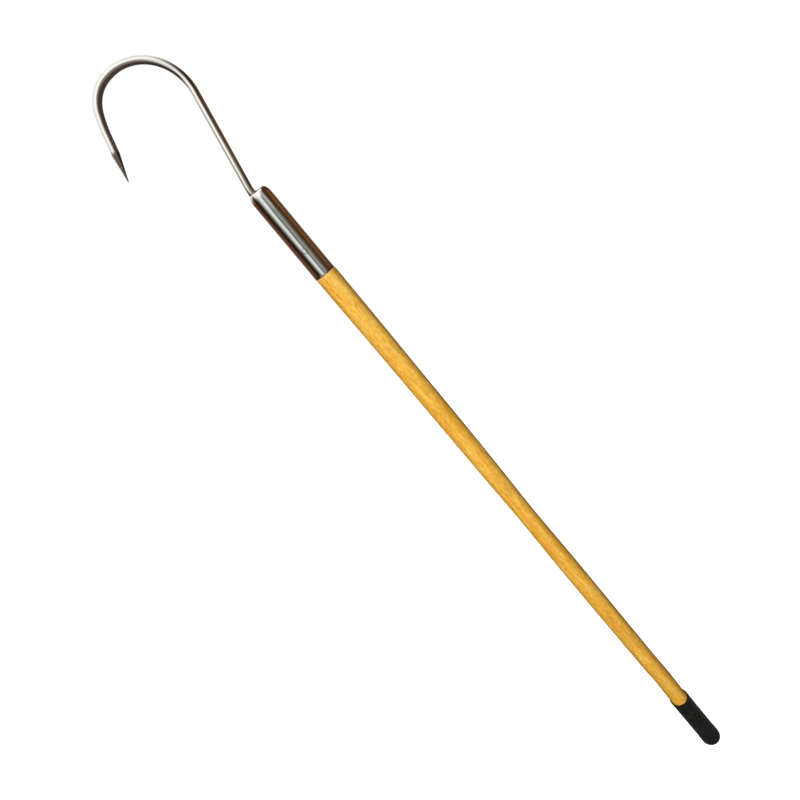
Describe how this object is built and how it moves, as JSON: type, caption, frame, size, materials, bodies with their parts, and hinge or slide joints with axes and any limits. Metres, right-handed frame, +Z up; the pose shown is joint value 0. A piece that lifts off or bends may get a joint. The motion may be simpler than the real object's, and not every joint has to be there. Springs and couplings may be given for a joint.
{
  "type": "boat hook",
  "caption": "Boat hook: a curved steel hook with a ground point, held by a steel ferrule on a round varnished wooden pole that ends in a rubber cap.",
  "frame": {"origin": "centre of the flat butt face at the bottom of the rubber cap, on the pole's axis", "axes": "+Z up the pole's axis to the hook, -X towards the hook's point, Y square to the hook's plane"},
  "size_m": [0.1107, 0.0296, 1.2045],
  "materials": {
    "polished_steel": "mirror-polished stainless steel",
    "weld_metal": "dressed fillet weld",
    "varnished_wood": "clear gloss varnish over straight-grained softwood",
    "bedding_resin": "cured resin, out of sight",
    "black_rubber": "matte moulded rubber",
    "tack_steel": "dark blued steel"
  },
  "bodies": {
    "root": {"hook": "polished_steel", "hook_weld_bead": "weld_metal", "ferrule_tube": "polished_steel", "ferrule_end_plate": "polished_steel", "ferrule_rivet": "polished_steel", "wooden_pole": "varnished_wood", "tang_bedding": "bedding_resin", "rubber_end_cap": "black_rubber", "cap_tack": "tack_steel"}
  },
  "joints": []
}
